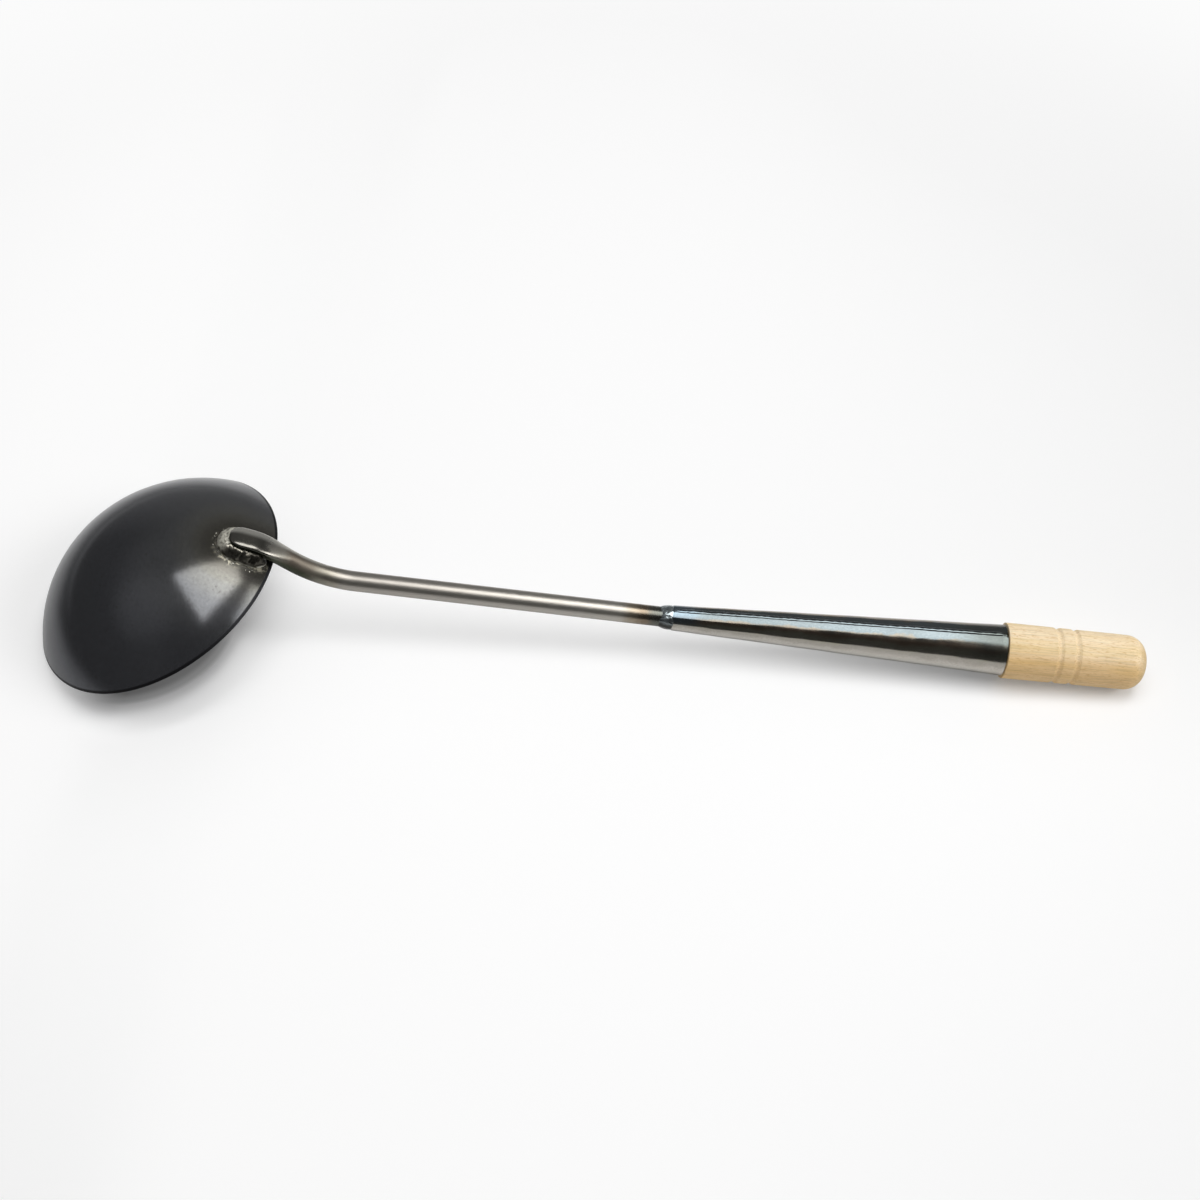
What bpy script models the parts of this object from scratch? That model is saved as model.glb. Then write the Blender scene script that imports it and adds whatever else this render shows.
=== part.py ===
"""Wok ladle: a pressed steel bowl on a bent round bar, a rolled cone socket and a turned wooden grip.

Units are metres and +Z is up. The ladle lies face down on the tip of its rim and the end of its grip,
with the handle along +X. The steel is drawn in the bowl's own frame, with the rim plane at z = 0 and the
rim's centre at the origin. The empty named ladle turns that frame until rim and grip touch the table.
"""

import math

import bmesh
import bpy
from mathutils import Matrix, Vector

# Bowl, measured on its outside before its edge is broken
BOWL_DIAMETER = 0.1085
BOWL_DEPTH = 0.0298
BOWL_WALL = 0.0012
RIM_EDGE_RADIUS = 0.0003

# Round bar: a straight lap on the bowl, a crank over the rim, a reverse bend, a straight run to the socket.
# The lap lies flatter than the bowl's slope at its rim, and the crank steeper, each by its turn
ROD_DIAMETER = 0.008
ROD_LAP = 0.0085
ROD_NOSE = 0.0025
ROD_LAP_TURN = math.radians(17.5607553362)
ROD_LAP_HALF_WIDTH = 0.0049
ROD_LAP_TOP = 0.0016
ROD_LAP_SQUARENESS = 4.6
ROD_LAP_FADE = (0.013, 0.027)
ROD_CRANK_TURN = math.radians(9.4392446638)
ROD_CRANK_RADIUS = 0.020
ROD_CRANK_STRAIGHT = 0.005
ROD_BEND_RADIUS = 0.042
ROD_PAST_RIM = 0.0050
ROD_STRAIGHT = 0.1255
ROD_TAIL = 0.018
HANDLE_ANGLE = math.radians(25.3)
NECK_KINK = math.radians(1.65)

# Rolled cone socket and its seam
CONE_LENGTH = 0.1309
CONE_WALL = 0.0008
CONE_END_DIAMETER = 0.0202
SEAM_WIDTH = 0.0020
SEAM_CROWN = 0.00025
SEAM_RIPPLE_PITCH = 0.0045

# Turned grip
GRIP_LENGTH = 0.0554
GRIP_SHOULDER_DIAMETER = 0.0220
GRIP_END_DIAMETER = 0.0215
GRIP_SHOULDER_EDGE = 0.0004
GRIP_CORNER_RADIUS = 0.0075
GROOVE_PLACES = (0.0203, 0.0271)
GROOVE_WIDTH = 0.0032
GROOVE_DEPTH = 0.0006
TENON_LENGTH = 0.050
TENON_CHAMFER = 0.001

# Weld beads
BOWL_BEAD_RADIUS = 0.0036
BOWL_BEAD_RISE = -0.0004
BOWL_BEAD_TOE_RISE = 0.0012
BOWL_BEAD_PITCH = 0.0026
NECK_BEAD_LENGTH = 0.0066
NECK_BEAD_HEIGHT = 0.00145
NECK_BEAD_LUMPS = 9

# Clearances between pieces that touch
SEAT_GAP = 0.0003
WELD_GAP = 0.0002
NECK_GAP = 0.0002
TENON_GAP = 0.00025
SHOULDER_GAP = 0.0002

BOWL_STEPS = 72
CONE_STEPS = 48
GRIP_STEPS = 40
ROD_SIDES = 16

# Derived geometry in the bowl's frame; a polar angle runs from the crown towards the handle
RIM_RADIUS = BOWL_DIAMETER / 2
ROD_RADIUS = ROD_DIAMETER / 2
DOME_RADIUS = (RIM_RADIUS**2 + BOWL_DEPTH**2) / (2 * BOWL_DEPTH)
DOME_CENTRE = Vector((0, 0, BOWL_DEPTH - DOME_RADIUS))
RIM_POLAR = math.asin(RIM_RADIUS / DOME_RADIUS)
LAP_ANGLE = RIM_POLAR - ROD_LAP_TURN
CRANK_ANGLE = RIM_POLAR + ROD_CRANK_TURN
AXIS_ANGLE = HANDLE_ANGLE - NECK_KINK
CONE_MOUTH_RADIUS = ROD_RADIUS + NECK_GAP + CONE_WALL
CONE_TAPER = (CONE_END_DIAMETER / 2 - CONE_MOUTH_RADIUS) / CONE_LENGTH


def radial(polar):
    return Vector((math.sin(polar), 0, math.cos(polar)))


def descent(angle):
    return Vector((math.cos(angle), 0, -math.sin(angle)))


def spread(first, last, count):
    return [first + (last - first) * i / (count - 1) for i in range(count)]


def arc(centre, radius, first, last, count):
    return [centre + radius * radial(angle) for angle in spread(first, last, count)]


def rod_path():
    """The bar's centre line in the bowl's frame, as (lap and bends, mouth of the cone, end of the tail)."""
    nearest_polar = RIM_POLAR + ROD_PAST_RIM / DOME_RADIUS
    nearest = DOME_CENTRE + (DOME_RADIUS + SEAT_GAP + ROD_RADIUS) * radial(nearest_polar)
    bend_centre = nearest + ROD_BEND_RADIUS * radial(nearest_polar)
    bend = arc(bend_centre, -ROD_BEND_RADIUS, CRANK_ANGLE, HANDLE_ANGLE, 12)
    crank_end = bend[0] - ROD_CRANK_STRAIGHT * descent(CRANK_ANGLE)
    crank_centre = crank_end - ROD_CRANK_RADIUS * radial(CRANK_ANGLE)
    crank = arc(crank_centre, ROD_CRANK_RADIUS, LAP_ANGLE, CRANK_ANGLE, 8)
    toe = crank[0] - ROD_LAP * descent(LAP_ANGLE)
    mouth = bend[-1] + ROD_STRAIGHT * descent(HANDLE_ANGLE)
    tail = mouth + ROD_TAIL * descent(AXIS_ANGLE)
    return [toe] + crank + bend, mouth, tail


ROD_BENDS, CONE_MOUTH, ROD_END = rod_path()


def corner_centre(side):
    """Centre of the round at the grip's end: side is 1 on the table side, -1 on the upper side."""
    end = CONE_MOUTH + (CONE_LENGTH + GRIP_LENGTH) * descent(AXIS_ANGLE)
    reach = GRIP_END_DIAMETER / 2 - GRIP_CORNER_RADIUS
    return end - GRIP_CORNER_RADIUS * descent(AXIS_ANGLE) - side * reach * radial(AXIS_ANGLE)


def rim_edge_centre(radius, edge):
    """Distance from the axis to the centre of a round between the rim plane and a dome of that radius."""
    rise = edge - DOME_CENTRE.z
    return math.sqrt((radius - edge) ** 2 - rise**2)


def rest_pose():
    """Turn about Y and shift that lay the ladle on rim tip and grip end, its box centred over the origin."""
    tip = Vector((-rim_edge_centre(DOME_RADIUS, RIM_EDGE_RADIUS), 0, RIM_EDGE_RADIUS))
    reach = corner_centre(1) - tip
    fall = math.atan2(reach.z, reach.x)
    turn = fall - math.asin((GRIP_CORNER_RADIUS - RIM_EDGE_RADIUS) / reach.length)
    spin = Matrix.Rotation(turn, 3, "Y")
    low = (spin @ tip).x - RIM_EDGE_RADIUS
    high = (spin @ corner_centre(-1)).x + GRIP_CORNER_RADIUS
    return turn, Vector((-(low + high) / 2, 0, RIM_EDGE_RADIUS - (spin @ tip).z))


def clear_scene():
    for obj in list(bpy.data.objects):
        bpy.data.objects.remove(obj)


def add_collection(name, hidden):
    collection = bpy.data.collections.new(name)
    collection.hide_render = hidden
    bpy.context.scene.collection.children.link(collection)
    return collection


def place(obj, parent, hidden=False):
    """Links an object to the ladle, or to its cutters when hidden."""
    (cutters if hidden else ladle).objects.link(obj)
    obj.parent = parent
    if hidden:
        obj.hide_render = True
        obj.display_type = "WIRE"
    return obj


def add_empty(name, parent, location, turn):
    empty = place(bpy.data.objects.new(name, None), parent)
    empty.location = location
    empty.rotation_euler = (0, turn, 0)
    return empty


def paint(obj, name, colour, metallic, roughness):
    material = bpy.data.materials.new(name)
    material.use_nodes = True
    surface = material.node_tree.nodes["Principled BSDF"]
    surface.inputs["Base Color"].default_value = (*colour, 1)
    surface.inputs["Metallic"].default_value = metallic
    surface.inputs["Roughness"].default_value = roughness
    obj.data.materials.append(material)


def turned(name, profile, steps, parent, hidden=False):
    """A solid turned about local Z from (radius, height) points that run down its outer side."""
    mesh = bpy.data.meshes.new(name)
    points = [(radius, 0, height) for radius, height in profile]
    closed = min(radius for radius, _ in profile) > 0
    edges = [(i, i + 1) for i in range(len(points) - 1)]
    mesh.from_pydata(points, edges + [(len(points) - 1, 0)] * closed, [])
    obj = place(bpy.data.objects.new(name, mesh), parent, hidden)
    obj.rotation_euler.z = math.pi / steps
    screw = obj.modifiers.new("Turn", "SCREW")
    screw.steps = screw.render_steps = steps
    screw.use_merge_vertices = True
    screw.merge_threshold = 1e-5
    return obj


def swept(name, rings, closed, parent, hidden=False):
    """A solid through rings of equally many points, each ring turning anticlockwise seen from the next."""
    bm = bmesh.new()
    loops = [[bm.verts.new(point) for point in ring] for ring in rings]
    for first, second in zip(loops, loops[1:] + loops[:1] * closed):
        for i in range(len(first)):
            bm.faces.new((first[i - 1], first[i], second[i], second[i - 1]))
    if not closed:
        bm.faces.new(loops[0][::-1])
        bm.faces.new(loops[-1])
    bmesh.ops.recalc_face_normals(bm, faces=bm.faces)
    mesh = bpy.data.meshes.new(name)
    bm.to_mesh(mesh)
    bm.free()
    return place(bpy.data.objects.new(name, mesh), parent, hidden)


def combine(obj, other, operation):
    boolean = obj.modifiers.new(operation.title(), "BOOLEAN")
    boolean.solver = "EXACT"
    boolean.operation = operation
    boolean.object = other


def ellipse(centre, across, up, count):
    turns = [2 * math.pi * i / count for i in range(count)]
    return [centre + math.cos(t) * across + math.sin(t) * up for t in turns]


def make_bowl(parent):
    profile = [(0, BOWL_DEPTH)]
    edge = RIM_EDGE_RADIUS
    outer = rim_edge_centre(DOME_RADIUS, edge)
    top = math.atan2(outer, edge - DOME_CENTRE.z)
    for polar in spread(0, top, 15)[1:]:
        profile.append((DOME_RADIUS * math.sin(polar), DOME_CENTRE.z + DOME_RADIUS * math.cos(polar)))
    for turn in spread(top, math.pi, 5)[1:]:
        profile.append((outer + edge * math.sin(turn), edge + edge * math.cos(turn)))
    hollow = DOME_RADIUS - BOWL_WALL
    inner = math.sqrt((hollow + edge) ** 2 - (edge - DOME_CENTRE.z) ** 2)
    base = math.atan2(inner, edge - DOME_CENTRE.z)
    for turn in spread(math.pi, math.pi + base, 4):
        profile.append((inner + edge * math.sin(turn), edge + edge * math.cos(turn)))
    for polar in spread(base, 0, 15)[1:]:
        profile.append((hollow * math.sin(polar), DOME_CENTRE.z + hollow * math.cos(polar)))
    bowl = turned("ladle_bowl", profile, BOWL_STEPS, parent)
    paint(bowl, "blackened_carbon_steel", (0.035, 0.036, 0.04), 0.9, 0.35)


def bar_ring(centre, way, width, flat, spare):
    """One ring round the bar: round where flat is 0, hammered flat on top and wider where it is 1."""
    up = Vector((-way.z, 0, way.x))
    side = width * (ROD_RADIUS + flat * (ROD_LAP_HALF_WIDTH - ROD_RADIUS)) + spare
    top = width * (ROD_RADIUS + flat * (ROD_LAP_TOP - ROD_RADIUS)) + spare
    base = width * ROD_RADIUS + spare
    ring = []
    for i in range(ROD_SIDES):
        turn = 2 * math.pi * i / ROD_SIDES
        across, rise = math.cos(turn), math.sin(turn)
        power = 2 + flat * (ROD_LAP_SQUARENESS - 2) * (rise > 0)
        stretch = (abs(across) ** power + abs(rise) ** power) ** (-1 / power)
        height = stretch * rise * (top if rise > 0 else base)
        ring.append(centre + Vector((0, stretch * across * side, 0)) + height * up)
    return ring


def bar(name, spare, parent, hidden=False):
    """The bar with its hammered lap and rounded nose, or a fatter one that clears it by spare."""
    way = descent(LAP_ANGLE)
    stations = []
    for turn in spread(0, math.pi / 2, 5):
        stations.append((ROD_BENDS[0] + ROD_NOSE * (1 - math.cos(turn)) * way, 0.55 + 0.45 * math.sin(turn)))
    stations += [(point, 1) for point in ROD_BENDS[1:] + [CONE_MOUTH, ROD_END]]
    points = [point for point, _ in stations]
    rings, run = [], 0
    for i, (point, width) in enumerate(stations):
        run += (point - points[max(i - 1, 0)]).length
        share = min(max((run - ROD_LAP_FADE[0]) / (ROD_LAP_FADE[1] - ROD_LAP_FADE[0]), 0), 1)
        flat = 1 - share * share * (3 - 2 * share)
        along = (points[min(i + 1, len(points) - 1)] - points[max(i - 1, 0)]).normalized()
        rings.append(bar_ring(point, along, width, flat, spare))
    return swept(name, rings, False, parent, hidden)


def make_rod(parent):
    rod = bar("shank_rod", 0, parent)
    paint(rod, "bare_steel_bar", (0.33, 0.32, 0.30), 1.0, 0.28)


def on_dome(polar, side, rise):
    """A point above the dome: polar angle, sideways distance along the surface and height over it."""
    tilt = side / DOME_RADIUS
    out = math.cos(tilt) * radial(polar) + Vector((0, math.sin(tilt), 0))
    return DOME_CENTRE + (DOME_RADIUS + rise) * out, out


def bead_line():
    """The fillet's line on the dome as (run, polar, side, turn), up one side and down the other."""
    toe = ROD_BENDS[0] - DOME_CENTRE
    toe_polar = math.atan2(toe.x, toe.z) + ROD_RADIUS / DOME_RADIUS
    foot = RIM_POLAR - BOWL_BEAD_RADIUS / DOME_RADIUS
    reach = ROD_LAP_HALF_WIDTH
    straight = (foot - toe_polar) * DOME_RADIUS
    length = 2 * straight + math.pi * reach
    line = []
    for run in spread(0, length, 4 * round(length / BOWL_BEAD_PITCH) + 1):
        turn = min(max((run - straight) / reach, 0), math.pi)
        along = run if run < straight else min(straight, length - run)
        polar = foot - (along + reach * math.sin(turn)) / DOME_RADIUS
        line.append((run, polar, reach * math.cos(turn), turn))
    return line


def make_bowl_weld(parent):
    rings = []
    line = bead_line()
    length = line[-1][0]
    for run, polar, side, turn in line:
        ripple = abs(math.sin(math.pi * run / BOWL_BEAD_PITCH))
        lump = math.sin(1.7 * math.pi * run / BOWL_BEAD_PITCH / 2.3)
        fade = min(1, 0.6 + 0.2 * min(run, length - run) / BOWL_BEAD_PITCH)
        size = BOWL_BEAD_RADIUS * (0.88 + 0.10 * ripple + 0.07 * lump) * fade
        rise = BOWL_BEAD_RISE + (BOWL_BEAD_TOE_RISE - BOWL_BEAD_RISE) * math.sin(turn)
        centre, out = on_dome(polar, side, rise)
        uphill = Vector((0, 1, 0)).cross(out).normalized()
        across = math.cos(turn) * Vector((0, 1, 0)) - math.sin(turn) * uphill
        rings.append(ellipse(centre, size * across, size * out, 10))
    weld = swept("bowl_weld", rings, False, parent)
    core = []
    for polar in spread(line[len(line) // 2][1], line[0][1], 8):
        centre, out = on_dome(polar, 0, 0)
        core.append(ellipse(centre, Vector((0, ROD_RADIUS, 0)), ROD_RADIUS * out, 12))
    combine(weld, swept("bowl_weld_core", core, False, parent, hidden=True), "UNION")
    combine(weld, bar("rod_clearance", WELD_GAP, parent, hidden=True), "DIFFERENCE")
    combine(weld, dome_cutter(parent), "DIFFERENCE")
    paint(weld, "bowl_weld_metal", (0.30, 0.29, 0.28), 0.9, 0.4)


def dome_cutter(parent):
    bm = bmesh.new()
    radius = DOME_RADIUS + WELD_GAP
    bmesh.ops.create_uvsphere(bm, u_segments=96, v_segments=48, radius=radius)
    mesh = bpy.data.meshes.new("dome_clearance")
    bm.to_mesh(mesh)
    bm.free()
    cutter = place(bpy.data.objects.new("dome_clearance", mesh), parent, hidden=True)
    cutter.location = DOME_CENTRE
    return cutter


def make_cone(axis):
    mouth, end = CONE_MOUTH_RADIUS, CONE_END_DIAMETER / 2
    soft = CONE_WALL / 4
    profile = [
        (end - CONE_WALL + soft, CONE_LENGTH),
        (end - soft, CONE_LENGTH),
        (end, CONE_LENGTH - soft),
        (mouth, 0),
        (mouth - CONE_WALL, 0),
        (end - CONE_WALL, CONE_LENGTH - soft),
    ]
    cone = turned("socket_cone", profile, CONE_STEPS, axis)
    combine(cone, seam_block("seam_slot", SEAM_WIDTH, 0.01, axis), "DIFFERENCE")
    paint(cone, "blued_sheet_steel", (0.09, 0.10, 0.13), 1.0, 0.22)


def seam_block(name, width, spare, axis):
    """A thin block on the upper side of the cone's axis, longer than the cone by spare at both ends."""
    half = width / 2
    reach = CONE_END_DIAMETER
    rings = [
        [Vector((-x, y, z)) for x, y in ((0, -half), (0, half), (reach, half), (reach, -half))]
        for z in (-spare, CONE_LENGTH + spare)
    ]
    return swept(name, rings, False, axis, hidden=True)


def make_seam_weld(axis):
    """The bead in the seam: a slice of the cone's wall whose crown rises and falls in ripples."""
    count = 4 * round(CONE_LENGTH / SEAM_RIPPLE_PITCH)
    crest = []
    for height in spread(CONE_LENGTH - WELD_GAP, WELD_GAP, count):
        ripple = math.sin(2 * math.pi * height / SEAM_RIPPLE_PITCH)
        wave = math.sin(2 * math.pi * height / SEAM_RIPPLE_PITCH / 2.7)
        rise = SEAM_CROWN * (0.6 + 0.2 * ripple + 0.2 * wave)
        crest.append((CONE_MOUTH_RADIUS + CONE_TAPER * height + rise, height))
    floor = CONE_MOUTH_RADIUS - CONE_WALL
    root = [(floor + CONE_TAPER * height, height) for height in (WELD_GAP, CONE_LENGTH - WELD_GAP)]
    weld = turned("seam_weld", crest + root, CONE_STEPS, axis)
    combine(weld, seam_block("seam_fill", SEAM_WIDTH - 2 * WELD_GAP, 0.01, axis), "INTERSECT")
    paint(weld, "seam_weld_metal", (0.16, 0.18, 0.24), 1.0, 0.3)


def frustum(name, low, high, bottom, top, axis):
    """A capped cone about local Z, from radius low at the bottom to radius high at the top."""
    profile = [(0, top), (high, top), (low, bottom), (0, bottom)]
    return turned(name, profile, CONE_STEPS, axis, hidden=True)


def make_neck_weld(parent, axis):
    """A lumpy ring that runs up from the bar on to the cone's mouth."""
    rings = []
    count = 6 * NECK_BEAD_LUMPS
    for i in range(count):
        turn = 2 * math.pi * i / count
        out = Vector((math.cos(turn), math.sin(turn), 0))
        lump = abs(math.sin(NECK_BEAD_LUMPS * turn / 2))
        swell = 0.92 + 0.08 * lump + 0.05 * math.sin(3 * turn + 1)
        shift = NECK_BEAD_LENGTH * (0.12 * math.sin(2 * turn + 0.6) - 0.32)
        centre = (ROD_RADIUS - NECK_BEAD_HEIGHT / 3) * out + Vector((0, 0, shift))
        along = Vector((0, 0, NECK_BEAD_LENGTH / 2))
        rings.append(ellipse(centre, NECK_BEAD_HEIGHT * swell * out, swell * along, 12))
    weld = swept("neck_weld", rings, True, axis)
    combine(weld, bpy.data.objects["rod_clearance"], "DIFFERENCE")
    mouth = CONE_MOUTH_RADIUS + WELD_GAP
    reach = 2 * NECK_BEAD_LENGTH
    grown = mouth + SEAM_CROWN + CONE_TAPER * reach
    combine(weld, frustum("mouth_clearance", mouth, grown, -WELD_GAP, reach, axis), "DIFFERENCE")
    paint(weld, "neck_weld_metal", (0.14, 0.14, 0.17), 0.95, 0.38)


def groove(place_along, radius_at):
    """Points of a round-bottomed groove, from its end nearer the butt to its end nearer the shoulder."""
    points = []
    for turn in spread(0, math.pi, 6):
        along = place_along + GROOVE_WIDTH / 2 * math.cos(turn)
        points.append((radius_at(along) - GROOVE_DEPTH * math.sin(turn), along))
    return points


def make_grip(axis):
    shoulder, end = GRIP_SHOULDER_DIAMETER / 2, GRIP_END_DIAMETER / 2
    round_start = GRIP_LENGTH - GRIP_CORNER_RADIUS

    def radius_at(along):
        return shoulder + (end - shoulder) * min(along / round_start, 1)

    outline = [(0, GRIP_LENGTH)]
    for turn in spread(0, math.pi / 2, 9):
        outline.append(
            (
                end - GRIP_CORNER_RADIUS * (1 - math.sin(turn)),
                round_start + GRIP_CORNER_RADIUS * math.cos(turn),
            )
        )
    for along in sorted(GROOVE_PLACES, reverse=True):
        outline += groove(along, radius_at)
    outline += [(shoulder, GRIP_SHOULDER_EDGE), (shoulder - GRIP_SHOULDER_EDGE, SHOULDER_GAP)]
    profile = [(radius, CONE_LENGTH + along) for radius, along in outline]
    bore = CONE_END_DIAMETER / 2 - CONE_WALL - TENON_GAP
    foot = bore - CONE_TAPER * TENON_LENGTH
    low = CONE_LENGTH - TENON_LENGTH
    profile += [
        (bore, CONE_LENGTH + SHOULDER_GAP),
        (foot + CONE_TAPER * TENON_CHAMFER, low + TENON_CHAMFER),
        (foot - TENON_CHAMFER, low),
        (0, low),
    ]
    grip = turned("wood_grip", profile, GRIP_STEPS, axis)
    paint(grip, "turned_beech", (0.72, 0.52, 0.29), 0.0, 0.6)


def shade():
    """Smooth shading on round faces, with edges of 30 degrees and more left sharp."""
    for obj in ladle.objects:
        if obj.type == "MESH":
            obj.data.shade_smooth()
            obj.data.set_sharp_from_angle(angle=math.radians(30))
        for modifier in obj.modifiers:
            if modifier.type == "SCREW":
                modifier.use_smooth_shade = True


clear_scene()
ladle = add_collection("wok_ladle", hidden=False)
cutters = add_collection("cutters", hidden=True)
rest_turn, rest_shift = rest_pose()
bowl_frame = add_empty("ladle", None, rest_shift, rest_turn)
cone_axis = add_empty("handle_axis", bowl_frame, CONE_MOUTH, math.pi / 2 + AXIS_ANGLE)
make_bowl(bowl_frame)
make_rod(bowl_frame)
make_bowl_weld(bowl_frame)
make_cone(cone_axis)
make_seam_weld(cone_axis)
make_neck_weld(bowl_frame, cone_axis)
make_grip(cone_axis)
shade()
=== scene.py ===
import bisect
import functools
import math

import bmesh
import bpy
from mathutils import Matrix, Vector, noise


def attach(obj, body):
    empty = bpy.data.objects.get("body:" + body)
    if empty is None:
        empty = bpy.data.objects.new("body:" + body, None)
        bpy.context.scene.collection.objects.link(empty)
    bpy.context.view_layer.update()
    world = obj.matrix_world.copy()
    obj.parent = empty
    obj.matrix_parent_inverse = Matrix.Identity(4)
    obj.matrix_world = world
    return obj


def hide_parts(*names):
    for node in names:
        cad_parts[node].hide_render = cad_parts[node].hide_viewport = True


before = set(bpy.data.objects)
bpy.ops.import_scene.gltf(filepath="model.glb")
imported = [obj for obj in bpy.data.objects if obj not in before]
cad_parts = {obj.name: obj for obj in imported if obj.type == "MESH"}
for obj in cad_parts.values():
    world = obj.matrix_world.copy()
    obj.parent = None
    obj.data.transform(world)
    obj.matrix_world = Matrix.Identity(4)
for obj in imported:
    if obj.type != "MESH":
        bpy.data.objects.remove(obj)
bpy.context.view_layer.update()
scene = bpy.context.scene
scene.view_settings.view_transform = "Standard"
print("frame loaded:", ", ".join(sorted(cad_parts)))

# sizes in metres; the bowl's rim plane is z = 0 here, its crown is up and the handle runs to +x
bowl = {
    "diameter": 0.1085, "depth": 0.0298, "wall": 0.0012, "rimEdge": 0.0003, "rimLine": 0.0019,
    "around": 256, "outerSteps": 96, "innerSteps": 64, "outerEdgeSteps": 9, "innerEdgeSteps": 7,
    "unevenness": 0.00005, "unevennessSize": 0.022, "insideMm": 6.0,  # the inside is further from the torch
}
rod = {
    "diameter": 0.008, "lap": 0.0085, "nose": 0.0050, "tip": 0.12, "lapAngle": 40, "crankAngle": 67,
    "crankRadius": 0.020, "crankStraight": 0.005, "bendRadius": 0.042, "pastRim": 0.0050,
    "straight": 0.1255, "tail": 0.018, "handleAngle": 25.3, "neckKink": 1.65,
    "seatGap": 0.0003, "sides": 48, "step": 0.0007, "noseSteps": 12, "crankSteps": 24, "bendSteps": 40,
}
rest = {"tilt": -20.97323, "shift": (-0.171316, 0, 0.019241)}  # lays the ladle on rim tip and grip end
sharpAngle = math.radians(42)  # edges sharper than this stay crisp
tiny = 1e-9  # a shorter length counts as none
gentle = (1.0, 2.0, 2)  # roughness, scale step and number of a noise's octaves

rimRadius = bowl["diameter"] / 2
domeRadius = (rimRadius**2 + bowl["depth"]**2) / (2 * bowl["depth"])
domeCentre = Vector((0, 0, bowl["depth"] - domeRadius))
rimPolar = math.asin(rimRadius / domeRadius)
rodRadius = rod["diameter"] / 2
handleAngle = math.radians(rod["handleAngle"])
axisAngle = math.radians(rod["handleAngle"] - rod["neckKink"])
toLadle = Matrix.Translation(rest["shift"]) @ Matrix.Rotation(math.radians(rest["tilt"]), 4, "Y")


def radial(angle):
    return Vector((math.sin(angle), 0, math.cos(angle)))


def descent(angle):
    return Vector((math.cos(angle), 0, -math.sin(angle)))


def spread(first, last, count):
    return [first + (last - first) * i / (count - 1) for i in range(count)]


def arc(centre, radius, first, last, count):
    return [centre + radius * radial(angle) for angle in spread(first, last, count)]


def smooth(low, high, value):
    share = min(max((value - low) / (high - low), 0), 1)
    return share * share * (3 - 2 * share)


def rodLine():
    lapAngle, crankAngle = math.radians(rod["lapAngle"]), math.radians(rod["crankAngle"])
    nearestPolar = rimPolar + rod["pastRim"] / domeRadius
    nearest = domeCentre + (domeRadius + rod["seatGap"] + rodRadius) * radial(nearestPolar)
    bendCentre = nearest + rod["bendRadius"] * radial(nearestPolar)
    bend = arc(bendCentre, -rod["bendRadius"], crankAngle, handleAngle, rod["bendSteps"])
    crankEnd = bend[0] - rod["crankStraight"] * descent(crankAngle)
    crankCentre = crankEnd - rod["crankRadius"] * radial(crankAngle)
    crank = arc(crankCentre, rod["crankRadius"], lapAngle, crankAngle, rod["crankSteps"])
    toe = crank[0] - rod["lap"] * descent(lapAngle)
    mouth = bend[-1] + rod["straight"] * descent(handleAngle)
    tail = mouth + rod["tail"] * descent(axisAngle)
    return toe, crank + bend, mouth, tail


rodToe, rodBends, coneMouth, rodEnd = rodLine()
toHandle = toLadle @ Matrix.Translation(coneMouth) @ Matrix.Rotation(math.pi / 2 + axisAngle, 4, "Y")


def toLinear(hexColour):
    parts = [int(hexColour[i:i + 2], 16) / 255 for i in (1, 3, 5)]
    return (*(p / 12.92 if p <= 0.04045 else ((p + 0.055) / 1.055) ** 2.4 for p in parts), 1)


def addNode(tree, kind, inputs=(), stops=None, out=0, **settings):
    # shader nodes go by their short names; inputs come by name or in order;
    # gives back the output that out names, or all of them for None
    named = kind.startswith(("Geometry", "Function", "NodeGroup"))
    node = tree.nodes.new(kind if named else "ShaderNode" + kind)
    for name, value in settings.items():
        setattr(node, name, value)
    pairs = inputs.items() if isinstance(inputs, dict) else enumerate(inputs)
    for name, value in pairs:
        if isinstance(value, bpy.types.NodeSocket):
            tree.links.new(value, node.inputs[name])
        else:
            painted = isinstance(value, str) and value.startswith("#")
            node.inputs[name].default_value = toLinear(value) if painted else value
    if stops:  # (place, hex colour or grey level) pairs of a colour ramp
        node.color_ramp.interpolation = "EASE"
        marks = node.color_ramp.elements
        for spare in range(len(stops) - len(marks)):
            marks.new(1.0)
        for mark, (place, colour) in zip(marks, stops):
            mark.position = place
            mark.color = toLinear(colour) if isinstance(colour, str) else (colour, colour, colour, 1)
    return node.outputs[out] if node.outputs and out is not None else node.outputs


def emptyTree(owner):
    # clears the nodes of a material, lamp or world and gives back what adds to them
    owner.use_nodes = True
    owner.node_tree.nodes.clear()
    return functools.partial(addNode, owner.node_tree)


def newMaterial(name):
    material = bpy.data.materials.new(name)
    return material, emptyTree(material)


def storeNumbers(mesh, name, values):
    mesh.attributes.new(name, "FLOAT", "POINT").data.foreach_set("value", values)


def finishPiece(name, mesh, material, node, place):
    mesh.transform(place)
    mesh.materials.clear()
    mesh.materials.append(material)
    mesh.shade_smooth()
    mesh.set_sharp_from_angle(angle=sharpAngle)
    piece = bpy.data.objects.new(name, mesh)
    scene.collection.objects.link(piece)
    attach(piece, "root")
    if node:
        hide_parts(node)
    print(name, "made,", len(mesh.polygons), "faces")


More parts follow.
